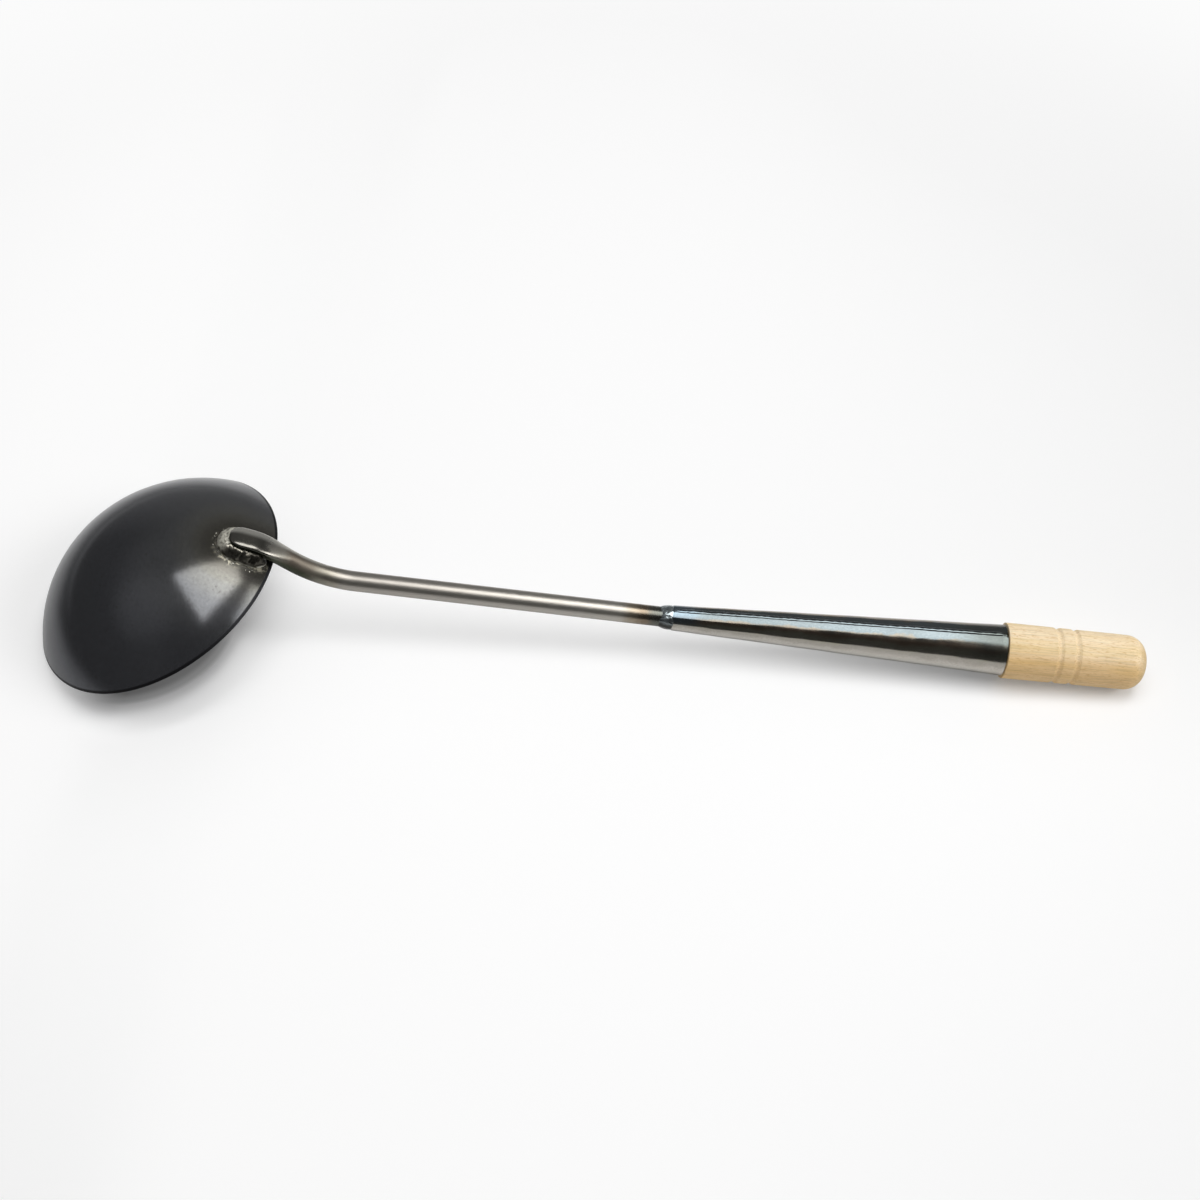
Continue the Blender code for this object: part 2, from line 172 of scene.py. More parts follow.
def turnedMesh(name, profile, around, shape):
    # profile holds (radius, height) pairs from pole to pole or round a ring; shape bends each point
    bm = bmesh.new()
    rings = []
    for radius, height in profile:
        turns = [2 * math.pi * i / around for i in range(around)] if radius > tiny else [0]
        points = [Vector((radius * math.cos(t), radius * math.sin(t), height)) for t in turns]
        rings.append([bm.verts.new(shape(p)) for p in points])
    closed = profile[0][0] > tiny
    for first, second in zip(rings, rings[1:] + rings[:1] * closed):
        for i in range(around):
            if len(first) == 1:
                bm.faces.new((first[0], second[i], second[i - 1]))
            elif len(second) == 1:
                bm.faces.new((first[i - 1], first[i], second[0]))
            else:
                bm.faces.new((first[i - 1], first[i], second[i], second[i - 1]))
    bmesh.ops.recalc_face_normals(bm, faces=bm.faces)
    mesh = bpy.data.meshes.new(name)
    bm.to_mesh(mesh)
    bm.free()
    return mesh


def newTree(name, inputs):
    tree = bpy.data.node_groups.new(name, "GeometryNodeTree")
    tree.interface.new_socket("Geometry", in_out="INPUT", socket_type="NodeSocketGeometry")
    for label, kind in inputs:
        tree.interface.new_socket(label, in_out="INPUT", socket_type=kind)
    tree.interface.new_socket("Geometry", in_out="OUTPUT", socket_type="NodeSocketGeometry")
    return tree, functools.partial(addNode, tree), tree.nodes.new("NodeGroupInput").outputs


def finishTree(add, given, geometry):
    whole = add("GeometryNodeRealizeInstances", {"Geometry": geometry})
    painted = add("GeometryNodeSetMaterial", {"Geometry": whole, "Material": given["Material"]})
    add("NodeGroupOutput", {"Geometry": painted})


def runTree(name, tree, source, values):
    # runs a tree on a curve or mesh and gives back its result as a plain mesh
    holder = bpy.data.objects.new(name, source)
    scene.collection.objects.link(holder)
    modifier = holder.modifiers.new(name, "NODES")
    modifier.node_group = tree
    for socket in tree.interface.items_tree:
        if socket.in_out == "INPUT" and socket.name in values:
            modifier[socket.identifier] = values[socket.name]
    graph = bpy.context.evaluated_depsgraph_get()
    mesh = bpy.data.meshes.new_from_object(holder.evaluated_get(graph))
    holder.modifiers.clear()
    bpy.data.objects.remove(holder)
    return mesh


def lineCurve(name, points, radii, closed=False):
    curve = bpy.data.curves.new(name, "CURVE")
    curve.dimensions = "3D"
    spline = curve.splines.new("POLY")
    spline.points.add(len(points) - 1)
    spline.use_cyclic_u = closed
    for knot, point, radius in zip(spline.points, points, radii):
        knot.co = (*point, 1)
        knot.radius = radius
    return curve


def domeProfile():
    edge = bowl["rimEdge"]
    rise = edge - domeCentre.z
    outer = math.sqrt((domeRadius - edge) ** 2 - rise**2)
    hollow = domeRadius - bowl["wall"]
    inner = math.sqrt((hollow + edge) ** 2 - rise**2)
    top, base = math.atan2(outer, rise), math.atan2(inner, rise)
    profile = []
    for polar in spread(0, top, bowl["outerSteps"]):
        profile.append((domeRadius * math.sin(polar), domeCentre.z + domeRadius * math.cos(polar)))
    for turn in spread(top, math.pi, bowl["outerEdgeSteps"])[1:]:
        profile.append((outer + edge * math.sin(turn), edge + edge * math.cos(turn)))
    for turn in spread(math.pi, math.pi + base, bowl["innerEdgeSteps"]):
        profile.append((inner + edge * math.sin(turn), edge + edge * math.cos(turn)))
    for polar in spread(base, 0, bowl["innerSteps"])[1:]:
        profile.append((hollow * math.sin(polar), domeCentre.z + hollow * math.cos(polar)))
    return profile


def pressedSheet(point):
    # a pressed sheet is never a perfect sphere: slow swells that bend the reflections a little
    out = (point - domeCentre).normalized()
    swell = noise.fractal(out * domeRadius / bowl["unevennessSize"], *gentle)
    return point + out * bowl["unevenness"] * swell


lap = {  # squareness of its near and far side; millimetres along the bar over which it fades
    "halfWidth": 0.0049, "top": 0.0016, "squareness": (4.6, 2.3), "fade": (13.0, 27.0),
}
bowlBead = {
    "radius": 0.0042, "toeRadius": 0.0038, "rise": 0.0005, "toeRise": 0.0008, "tuck": 0.0014,
    "toeStretch": 1.26, "footGap": 0.0030, "endFade": (-0.0006, 0.0050), "endShare": 0.05, "points": 120,
    "flare": 1.5, "flareHeight": 0.0047, "endSoot": 0.85, "endSootRun": (0.003, 0.012),
    "flankShade": 0.65, "flankShadeOut": (0.0010, 0.0026), "toeCrust": (0.15, 0.8),
    "footCrust": 0.9, "footCrustRise": (0.0003, 0.0011),
    "step": 0.00022, "width": 1.0, "height": 1.0, "sides": 40, "pitch": 0.0016, "rippleDepth": 0.00004,
    "rippleBow": 0.45, "lumpiness": 0.0013, "lumpSize": 0.0020, "seed": 4.0,
}
toeOffset = rodToe - domeCentre
toePolar = math.atan2(toeOffset.x, toeOffset.z) + rodRadius / domeRadius
footPolar = rimPolar - bowlBead["footGap"] / domeRadius
beadReach = lap["halfWidth"] - bowlBead["tuck"]
beadStraight = (footPolar - toePolar) * domeRadius
beadLength = 2 * beadStraight + math.pi * beadReach


def onDome(polar, side, rise):
    tilt = side / domeRadius
    out = math.cos(tilt) * radial(polar) + Vector((0, math.sin(tilt), 0))
    return domeCentre + (domeRadius + rise) * out


def beadPlace(run, out=0.0):
    # up one side of the lap, round its toe and down the other side; out is a distance away from the bar
    turn = min(max((run - beadStraight) / beadReach, 0), math.pi)
    along = min(run, beadStraight, beadLength - run)
    ahead = (beadReach * bowlBead["toeStretch"] + out) * math.sin(turn)
    return footPolar - (along + ahead) / domeRadius, (beadReach + out) * math.cos(turn), math.sin(turn)


def bowlBeadLine():
    points, radii = [], []
    for run in spread(0, beadLength, bowlBead["points"]):
        polar, side, toeShare = beadPlace(run)
        rise = bowlBead["rise"] + (bowlBead["toeRise"] - bowlBead["rise"]) * toeShare
        points.append(onDome(polar, side, rise))
        size = bowlBead["radius"] + (bowlBead["toeRadius"] - bowlBead["radius"]) * toeShare
        fade = math.sqrt(smooth(*bowlBead["endFade"], min(run, beadLength - run)))
        radii.append(size * max(fade, bowlBead["endShare"]))
    return points, radii


beadPoints, beadRadii = bowlBeadLine()


def blackenedSteel():
    # carbon-steel sheet, pressed, then heat-blackened and oiled: near-black oxide with a satin gloss and
    # blurred lamp shapes, a sooty olive ring where the weld burnt it, pale flakes of scale beside the bead
    material, add = newMaterial("carbonSteelHeatBlackened")
    place = add("TexCoord", out="Object")
    weldMm = add("Attribute", attribute_name="weldMm", out="Fac")
    rimShare = add("Attribute", attribute_name="rimShare", out="Fac")
    cloud, fine, speck, scale = (
        add("TexNoise", {
            "Vector": place, "Scale": 1 / size, "Detail": detail, "Roughness": grain}, out="Fac")
        for size, detail, grain in ((0.014, 5, 0.6), (0.0011, 3, 0.5), (0.0009, 0, 0.5), (0.0016, 3, 0.6)))
    wander = add("Math", [cloud, 2.6, -1.3], operation="MULTIPLY_ADD")
    ring = add("Math", [weldMm, wander], operation="ADD")
    ringShare = add("Math", [ring, 1 / 40], operation="MULTIPLY", use_clamp=True)
    heat = add("ValToRGB", [ringShare], stops=[
        (0.0, "#403e39"), (0.03, "#47453f"), (0.07, "#4b4943"), (0.12, "#514f4a"),
        (0.19, "#595853"), (0.28, "#5c5c5a"), (0.5, "#565759"), (1.0, "#55565a")])
    mottle = add("ValToRGB", [fine], stops=[(0.30, 0.86), (0.55, 1.0), (0.75, 1.12)])
    colour = add("Mix", {0: 1.0, 6: heat, 7: mottle}, data_type="RGBA", blend_type="MULTIPLY", out=2)
    pits = add("ValToRGB", [speck], stops=[(0.0, 0.0), (0.76, 0.0), (0.82, 1.0)])
    patches = add("ValToRGB", [scale], stops=[(0.48, 0.0), (0.60, 1.0)])
    fringe = add("ValToRGB", [ringShare], stops=[(0.0, 0.8), (0.035, 0.7), (0.07, 0.0)])
    across = add("SeparateXYZ", [place], out="Y")
    torchSide = add("MapRange", [across, -0.006, -0.001, 1.0, 0.3])
    burnt = add("Math", [fringe, torchSide], operation="MULTIPLY")
    flakes = add("Math", [patches, burnt], operation="MULTIPLY")
    rim = add("ValToRGB", [rimShare], stops=[(0.70, 1.0), (0.95, 0.0)])
    for cover, paint in (pits, "#464543"), (flakes, "#a39e8e"), (rim, "#1d1d1f"):  # near-black along the rim's outer edge
        colour = add("Mix", {0: cover, 6: colour, 7: paint}, data_type="RGBA", out=2)
    dull = add("ValToRGB", [ringShare], stops=[
        (0.0, 0.38), (0.03, 0.26), (0.06, 0.17), (0.5, 0.16), (1.0, 0.16)])
    uneven = add("Math", [cloud, 0.08, -0.04], operation="MULTIPLY_ADD")
    satin = add("Math", [dull, uneven], operation="ADD")
    rough = add("Math", [rim, 0.3, satin], operation="MULTIPLY_ADD")
    skin = add("Bump", {"Height": fine, "Strength": 0.12, "Distance": 0.00006})
    shader = add("BsdfPrincipled", {
        "Base Color": colour, "Metallic": 0.8, "Roughness": rough, "Normal": skin})
    add("OutputMaterial", {"Surface": shader})
    return material


def makeBowl():
    mesh = turnedMesh("ladleBowl", domeProfile(), bowl["around"], pressedSheet)
    outside = [(vertex.co - domeCentre).length > domeRadius - bowl["wall"] / 2 for vertex in mesh.vertices]
    beads = list(zip(beadPoints, beadRadii))[::3]  # every third point is close enough for a distance
    near = []
    for vertex, out in zip(mesh.vertices, outside):
        gap = min((vertex.co - point).length - radius for point, radius in beads)
        near.append(max(gap, 0) * 1000 + (0 if out else bowl["insideMm"]))
    storeNumbers(mesh, "weldMm", near)
    heights = [vertex.co.z / math.sin(rimPolar) / bowl["rimLine"] for vertex in mesh.vertices]
    storeNumbers(mesh, "rimShare", [min(h, 1) if out else 1 for h, out in zip(heights, outside)])
    finishPiece("ladleBowl", mesh, blackenedSteel(), "ladle_bowl", toLadle)


makeBowl()


def barTree():
    tree, add, given = newTree("roundBar", [("Sides", "NodeSocketInt"), ("Material", "NodeSocketMaterial")])
    run = add("GeometryNodeSplineParameter", out="Length")
    runMm = add("Math", [run, 1000.0], operation="MULTIPLY")
    marked = add("GeometryNodeStoreNamedAttribute", {
        "Geometry": given["Geometry"], "Name": "alongMm", "Value": runMm})
    circle = add("GeometryNodeCurvePrimitiveCircle", {"Resolution": given["Sides"], "Radius": 1.0})
    width = add("GeometryNodeInputRadius")
    tube = add("GeometryNodeCurveToMesh", {
        "Curve": marked, "Profile Curve": circle, "Scale": width, "Fill Caps": True})
    finishTree(add, given, tube)
    return tree


def drawnSteel():
    # mild-steel bar, cold drawn and left bare: warm grey metal with fine lines along it and a bright streak,
    # charcoal scale on the hammered lap, brown at the crank, straw then blue-black beside the neck weld; a
    # painted reflection lightens the lap's far side over rubbed metal and painted shade darkens the crank's
    # underside
    material, add = newMaterial("mildSteelDrawnBar")
    place = add("TexCoord", out="Object")
    alongMm = add("Attribute", attribute_name="alongMm", out="Fac")
    flank = add("Attribute", attribute_name="flank", out="Fac")
    cloud = add("TexNoise", {"Vector": place, "Scale": 1 / 0.005, "Detail": 4, "Roughness": 0.6}, out="Fac")
    wander = add("Math", [cloud, 6.0, -3.0], operation="MULTIPLY_ADD")
    shifted = add("Math", [alongMm, wander], operation="ADD")
    share = add("Math", [shifted, 1 / 200], operation="MULTIPLY", use_clamp=True)
    colour = add("ValToRGB", [share], stops=[
        (0.0, "#686661"), (0.058, "#6b6963"), (0.08, "#8e8b84"), (0.10, "#85827a"), (0.125, "#6d655b"),
        (0.155, "#716a60"), (0.20, "#8b867b"), (0.26, "#a39e97"), (0.785, "#a5a19a"), (0.815, "#8f8576"),
        (0.838, "#75695a"), (0.86, "#5a5a54"), (0.885, "#474d4c"), (1.0, "#4a545c")])
    # painted reflection: the lap's far side is lightened over its rubbed bare metal
    farFlank = add("MapRange", [flank, 0.05, 0.5], interpolation_type="SMOOTHSTEP")
    early = add("ValToRGB", [share], stops=[(0.09, 0.95), (0.17, 0.7), (0.24, 0.0)])
    rubbedAndReflection = add("Math", [farFlank, early], operation="MULTIPLY")
    under = add("MapRange", [flank, -0.97, -0.78, 0.9, 0.0])
    cranked = add("ValToRGB", [share], stops=[(0.0, 1.0), (0.15, 1.0), (0.225, 0.0)])
    paintedUnderShade = add("Math", [under, cranked], operation="MULTIPLY")
    for cover, paint in (rubbedAndReflection, "#d6d4cc"), (paintedUnderShade, "#3b4033"):  # lighter on the lap's far side: rubbed metal plus a painted reflection; darker low on the near side: painted shade
        colour = add("Mix", {0: cover, 6: colour, 7: paint}, data_type="RGBA", out=2)
    lines = add("Mapping", {
        "Vector": place, "Rotation": (0, math.radians(rod["handleAngle"] + rest["tilt"]), 0),
        "Scale": (1 / 0.03, 1 / 0.00035, 1 / 0.00035)})
    drawn = add("TexNoise", {"Vector": lines, "Scale": 1.0, "Detail": 3}, out="Fac")
    shade = add("ValToRGB", [drawn], stops=[(0.25, 0.86), (0.5, 1.0), (0.8, 1.0)])
    toned = add("Mix", {0: 1.0, 6: colour, 7: shade}, data_type="RGBA", blend_type="MULTIPLY", out=2)
    gloss = add("ValToRGB", [share], stops=[
        (0.0, 0.14), (0.068, 0.16), (0.088, 0.36), (0.11, 0.44), (0.165, 0.48), (0.21, 0.34), (0.26, 0.34),
        (0.79, 0.34), (0.84, 0.23), (1.0, 0.2)])
    rough = add("Math", [cloud, 0.08, gloss], operation="MULTIPLY_ADD")
    skin = add("Bump", {"Height": drawn, "Strength": 0.22, "Distance": 0.00005})
    shader = add("BsdfPrincipled", {
        "Base Color": toned, "Metallic": 1.0, "Roughness": rough, "Normal": skin})
    add("OutputMaterial", {"Surface": shader})
    return material


def forgeLap(mesh, points):
    # the bar's end was hammered on to the bowl: wider, and flat on top
    around = zip(points[:1] + points, points[1:] + points[-1:])
    ways = [(after - before).normalized() for before, after in around]
    runs = [0.0]
    for before, after in zip(points, points[1:]):
        runs.append(runs[-1] + (after - before).length * 1000)
    marks = mesh.attributes["alongMm"].data
    flanks = []
    for vertex in mesh.vertices:
        along = marks[vertex.index].value
        later = min(bisect.bisect(runs, along), len(runs) - 1)
        nearest = later if runs[later] - along < along - runs[later - 1] else later - 1
        centre, way = points[nearest], ways[nearest]
        up = Vector((-way.z, 0, way.x))
        off = vertex.co - centre
        side, rise, run = off.y, off.dot(up), off.dot(way)
        reach = max(math.hypot(side, rise), tiny)
        across, lift = side / reach, rise / reach
        flanks.append(across if lift > 0 else math.copysign(1.0, across))
        flat = 1 - smooth(*lap["fade"], along)
        power = 2 + (lap["squareness"][across > 0] - 2) * flat * (lift > 0)
        stretch = reach * (abs(across) ** power + abs(lift) ** power) ** (-1 / power)
        wide = 1 + (lap["halfWidth"] / rodRadius - 1) * flat
        tall = 1 + (lap["top"] / rodRadius - 1) * flat * (lift > 0)
        vertex.co = centre + way * run + up * stretch * lift * tall + Vector((0, stretch * across * wide, 0))
    storeNumbers(mesh, "flank", flanks)  # -1 on the near side, 0 on top, 1 on the far side


def makeRod():
    way = descent(math.radians(rod["lapAngle"]))
    points, radii = [], []
    for turn in spread(0, math.pi / 2, rod["noseSteps"]):  # the forged nose, rounded off to a small flat
        points.append(rodToe + rod["nose"] * (1 - math.cos(turn)) * way)
        radii.append(rodRadius * (rod["tip"] + (1 - rod["tip"]) * math.sin(turn)))
    corners = [points[-1]] + rodBends + [coneMouth, rodEnd]
    for first, second in zip(corners, corners[1:]):
        count = max(1, round((second - first).length / rod["step"]))
        for i in range(1, count + 1):
            points.append(first.lerp(second, i / count))
            radii.append(rodRadius)
    steel = drawnSteel()
    curve = lineCurve("shankRodLine", points, radii)
    mesh = runTree("shankRodTree", barTree(), curve, {"Sides": rod["sides"], "Material": steel})
    forgeLap(mesh, points)
    finishPiece("shankRod", mesh, steel, "shank_rod", toLadle)


makeRod()

beadInputs = {
    "Step": "step", "Width": "width", "Height": "height", "Pitch": "pitch", "Ripple depth": "rippleDepth",
    "Ripple bow": "rippleBow", "Lumpiness": "lumpiness", "Lump size": "lumpSize", "Seed": "seed",
    "Sides": "sides",
}


def beadTree():
    kinds = {label: "NodeSocketInt" if label == "Sides" else "NodeSocketFloat" for label in beadInputs}
    tree, add, given = newTree("weldBead", [*kinds.items(), ("Material", "NodeSocketMaterial")])
    even = add("GeometryNodeResampleCurve", {
        "Curve": given["Geometry"], "Length": given["Step"]}, mode="LENGTH")
    upright = add("GeometryNodeSetCurveNormal", {"Curve": even}, mode="Z_UP")
    run = add("GeometryNodeSplineParameter", out="Length")
    marked = add("GeometryNodeStoreNamedAttribute", {"Geometry": upright, "Name": "run", "Value": run})
    circle = add("GeometryNodeCurvePrimitiveCircle", {"Resolution": given["Sides"], "Radius": 1.0})
    size = add("CombineXYZ", [given["Width"], given["Height"], 1.0])
    oval = add("GeometryNodeTransform", {"Geometry": circle, "Scale": size})
    share = add("GeometryNodeSplineParameter", out="Factor")
    profile = add("GeometryNodeStoreNamedAttribute", {
        "Geometry": oval, "Name": "turnShare", "Value": share})
    width = add("GeometryNodeInputRadius")
    tube = add("GeometryNodeCurveToMesh", {
        "Curve": marked, "Profile Curve": profile, "Scale": width, "Fill Caps": True})
    runRead = add("GeometryNodeInputNamedAttribute", {"Name": "run"})
    turnRead = add("GeometryNodeInputNamedAttribute", {"Name": "turnShare"})
    place = add("GeometryNodeInputPosition")
    # ripples: bowed crescents of one puddle each, with sharp valleys between them
    steps = add("Math", [runRead, given["Pitch"]], operation="DIVIDE")
    angle = add("Math", [turnRead, 2 * math.pi], operation="MULTIPLY")
    across = add("Math", [angle], operation="COSINE")
    bowed = add("Math", [across, given["Ripple bow"], steps], operation="MULTIPLY_ADD")
    lumpScale = add("Math", [1.0, given["Lump size"]], operation="DIVIDE")
    lumps = add("TexNoise", {
        "Vector": place, "W": given["Seed"], "Scale": lumpScale, "Detail": 2.0, "Roughness": 0.55},
        noise_dimensions="4D", out="Fac")
    uneven = add("Math", [lumps, 1.6, bowed], operation="MULTIPLY_ADD")
    part = add("Math", [uneven], operation="FRACT")
    fold = add("Math", [part, 2.0, -1.0], operation="MULTIPLY_ADD")
    valley = add("Math", [fold, fold], operation="MULTIPLY")
    ripple = add("Math", [valley, given["Ripple depth"]], operation="MULTIPLY")
    centred = add("Math", [lumps, 0.5], operation="SUBTRACT")
    lift = add("Math", [centred, given["Lumpiness"]], operation="MULTIPLY")
    total = add("Math", [lift, ripple], operation="SUBTRACT")
    outward = add("GeometryNodeInputNormal")
    shift = add("VectorMath", {0: outward, "Scale": total}, operation="SCALE")
    rippled = add("GeometryNodeSetPosition", {"Geometry": tube, "Offset": shift})
    finishTree(add, given, rippled)
    return tree


weldBead = beadTree()


def runBead(name, curve, bead, material):
    values = {label: bead[setting] for label, setting in beadInputs.items()}
    return runTree(name, weldBead, curve, {**values, "Material": material})


def weldSteel(name, bright, dark, roughness):
    # steel filler melted in by a torch and never dressed: bright rounded crests, dark oxide in the valleys,
    # soot where it was burnt, painted shade on its shaded sides, and a pale matt crust of slag where the
    # bead began
    material, add = newMaterial(name)
    place = add("TexCoord", out="Object")
    cloud, slag, grit = (
        add("TexNoise", {
            "Vector": place, "Scale": 1 / size, "Detail": detail, "Roughness": grain}, out="Fac")
        for size, detail, grain in ((0.0022, 4, 0.65), (0.0013, 3, 0.6), (0.00035, 3, 0.5)))
    crest = add("NewGeometry", out="Pointiness")
    edge = add("ValToRGB", [crest], stops=[(0.44, 0.0), (0.56, 1.0)])
    mixed = add("Math", [cloud, edge], operation="ADD")
    height = add("Math", [mixed, 0.5], operation="MULTIPLY")
    colour = add("ValToRGB", [height], stops=[(0.28, dark), (0.62, bright)])
    sootAndShade = add("Attribute", attribute_name="sootAndShade", out="Fac")
    crust = add("Attribute", attribute_name="crust", out="Fac")
    patchy = add("ValToRGB", [slag], stops=[(0.36, 0.15), (0.54, 1.0)])
    crusted = add("Math", [crust, patchy], operation="MULTIPLY")
    # sootAndShade darkens: soot at the bowl bead's ends, painted shade on its outer sides and under the neck
    # bead
    for cover, paint in (sootAndShade, "#2d2b27"), (crusted, "#bab8ac"):
        colour = add("Mix", {0: cover, 6: colour, 7: paint}, data_type="RGBA", out=2)
    gloss = add("Math", [cloud, 0.2, roughness - 0.1], operation="MULTIPLY_ADD")
    rough = add("Math", [crusted, 0.22, gloss], operation="MULTIPLY_ADD")
    bare = add("Math", [crusted, -0.9, 1.0], operation="MULTIPLY_ADD")
    skin = add("Bump", {"Height": grit, "Strength": 0.2, "Distance": 0.0001})
    shader = add("BsdfPrincipled", {
        "Base Color": colour, "Metallic": bare, "Roughness": rough, "Normal": skin})
    add("OutputMaterial", {"Surface": shader})
    return material


def makeBowlWeld():
    steel = weldSteel("fillerSteelTorchBead", "#8c887e", "#2c2a26", 0.27)
    curve = lineCurve("bowlWeldLine", beadPoints, beadRadii)
    mesh = runBead("bowlWeldTree", curve, bowlBead, steel)
    runs = [mark.value for mark in mesh.attributes["run"].data]
    sootAndShade, crust = [], []
    for vertex, run in zip(mesh.vertices, runs):
        off = vertex.co - domeCentre
        height = max(off.length - domeRadius, -bowl["wall"] / 2)  # the bead doesn't come through the sheet
        if 0 < height < bowlBead["flareHeight"]:  # and runs out thin on it
            height = bowlBead["flareHeight"] * (height / bowlBead["flareHeight"]) ** bowlBead["flare"]
        toeShare = beadPlace(run)[2]
        out = abs(vertex.co.y) - beadReach
        ends = bowlBead["endSoot"] * (1 - smooth(*bowlBead["endSootRun"], min(run, beadLength - run)))
        flank = bowlBead["flankShade"] * smooth(*bowlBead["flankShadeOut"], out) * (1 - toeShare)
        sootAndShade.append(max(ends, flank))  # burnt at the ends; the outer sides are darkened as painted shade
        foot = bowlBead["footCrust"] * (1 - smooth(*bowlBead["footCrustRise"], height))
        crust.append(max(smooth(*bowlBead["toeCrust"], toeShare), foot))  # slag on the toe and the foot
        vertex.co = domeCentre + off.normalized() * (domeRadius + height)
    storeNumbers(mesh, "sootAndShade", sootAndShade)
    storeNumbers(mesh, "crust", crust)
    finishPiece("bowlWeld", mesh, steel, "bowl_weld", toLadle)


makeBowlWeld()

spatter = {
    "from": 0.0034, "to": 0.0064, "endGap": 0.004, "bandSteps": 40, "density": 160000.0,
    "smallest": 0.00010, "largest": 0.00034, "roundness": 3, "seed": 3,
}


def spatterTree():
    tree, add, given = newTree("weldSpatter", [
        ("Density", "NodeSocketFloat"), ("Smallest", "NodeSocketFloat"), ("Largest", "NodeSocketFloat"),
        ("Seed", "NodeSocketInt"), ("Material", "NodeSocketMaterial")])
    spots = add("GeometryNodeDistributePointsOnFaces", {
        "Mesh": given["Geometry"], "Density": given["Density"], "Seed": given["Seed"]}, out="Points")
    size = add("FunctionNodeRandomValue", {
        2: given["Smallest"], 3: given["Largest"], "Seed": given["Seed"]}, out=1)
    ball = add("GeometryNodeMeshIcoSphere", {
        "Radius": 1.0, "Subdivisions": spatter["roundness"]}, out="Mesh")
    drops = add("GeometryNodeInstanceOnPoints", {"Points": spots, "Instance": ball, "Scale": size})
    finishTree(add, given, drops)
    return tree


def makeSpatter():
    # drops that jumped out of the puddle and froze on the sheet round the bead
    edges = []
    for run in spread(spatter["endGap"], beadLength - spatter["endGap"], spatter["bandSteps"]):
        edges.append([onDome(*beadPlace(run, out)[:2], 0) for out in (spatter["from"], spatter["to"])])
    mesh = bpy.data.meshes.new("spatterBand")
    faces = [(2 * i, 2 * i + 1, 2 * i + 3, 2 * i + 2) for i in range(len(edges) - 1)]
    mesh.from_pydata([point for pair in edges for point in pair], [], faces)
    bright = weldSteel("fillerSteelBrightDrops", "#dcdacf", "#94918a", 0.2)
    drops = runTree("weldSpatterTree", spatterTree(), mesh, {
        "Density": spatter["density"], "Smallest": spatter["smallest"], "Largest": spatter["largest"],
        "Seed": spatter["seed"], "Material": bright})
    finishPiece("weldSpatter", drops, bright, None, toLadle)


makeSpatter()

cone = {
    "length": 0.1309, "wall": 0.0008, "mouthGap": 0.0002, "endDiameter": 0.0202, "mouthEdge": 0.0002,
    "around": 144, "steps": 220, "innerSteps": 24, "innerStart": 0.004, "endFades": (0.004, 0.002),
    "ridgeTurn": 19, "ridgeVaries": 0.25, "ridgeSize": 0.021, "ridgeSink": 0.35, "sinkTurn": 0.5,
    "ridgeSeed": (5.0, 1.3), "ridgeWander": 0.0006, "wanderTurn": 0.7, "wanderSize": 0.016,
    "wanderSeed": 3.7, "rippleSize": 0.006, "rippleSeed": 9.1,
    "dents": 0.00009, "dentWidth": 0.006, "dentLength": 0.012, "dentSeed": 7.7,
}
coneMouthRadius = rodRadius + cone["mouthGap"] + cone["wall"]
coneTaper = (cone["endDiameter"] / 2 - coneMouthRadius) / cone["length"]


def coneSkin(point):
    # the sheet's two edges stayed straight when it was rolled, so the seam stands up as a low wavy ridge
    radius = math.hypot(point.x, point.y)
    turn = math.atan2(point.y, -point.x)
    along = point.z
    slow = noise.noise(Vector((along / cone["wanderSize"], 0.0, cone["wanderSeed"])))
    quick = noise.noise(Vector((along / cone["rippleSize"], 0.0, cone["rippleSeed"])))
    sway = slow + quick / 2
    turn -= cone["ridgeWander"] * sway / radius * math.exp(-(turn / cone["wanderTurn"]) ** 2)
    varies = cone["ridgeVaries"] * noise.noise(Vector((along / cone["ridgeSize"], *cone["ridgeSeed"])))
    ridge = math.radians(cone["ridgeTurn"]) * (1 + varies)
    grown = radius
    if abs(turn) < ridge:
        grown = radius / math.cos(ridge - abs(turn))
    sink = cone["ridgeSink"] * math.exp(-(turn / cone["sinkTurn"]) ** 2)
    grown -= radius * (1 / math.cos(ridge) - 1) * sink
    spot = Vector((turn * radius / cone["dentWidth"], along / cone["dentLength"], cone["dentSeed"]))
    dent = noise.fractal(spot, *gentle)
    atMouth, atEnd = cone["endFades"]
    ends = smooth(0, atMouth, along) * smooth(0, atEnd, cone["length"] - along)
    grown = radius + (grown - radius) * ends + cone["dents"] * dent * ends
    return Vector((point.x * grown / radius, point.y * grown / radius, point.z))


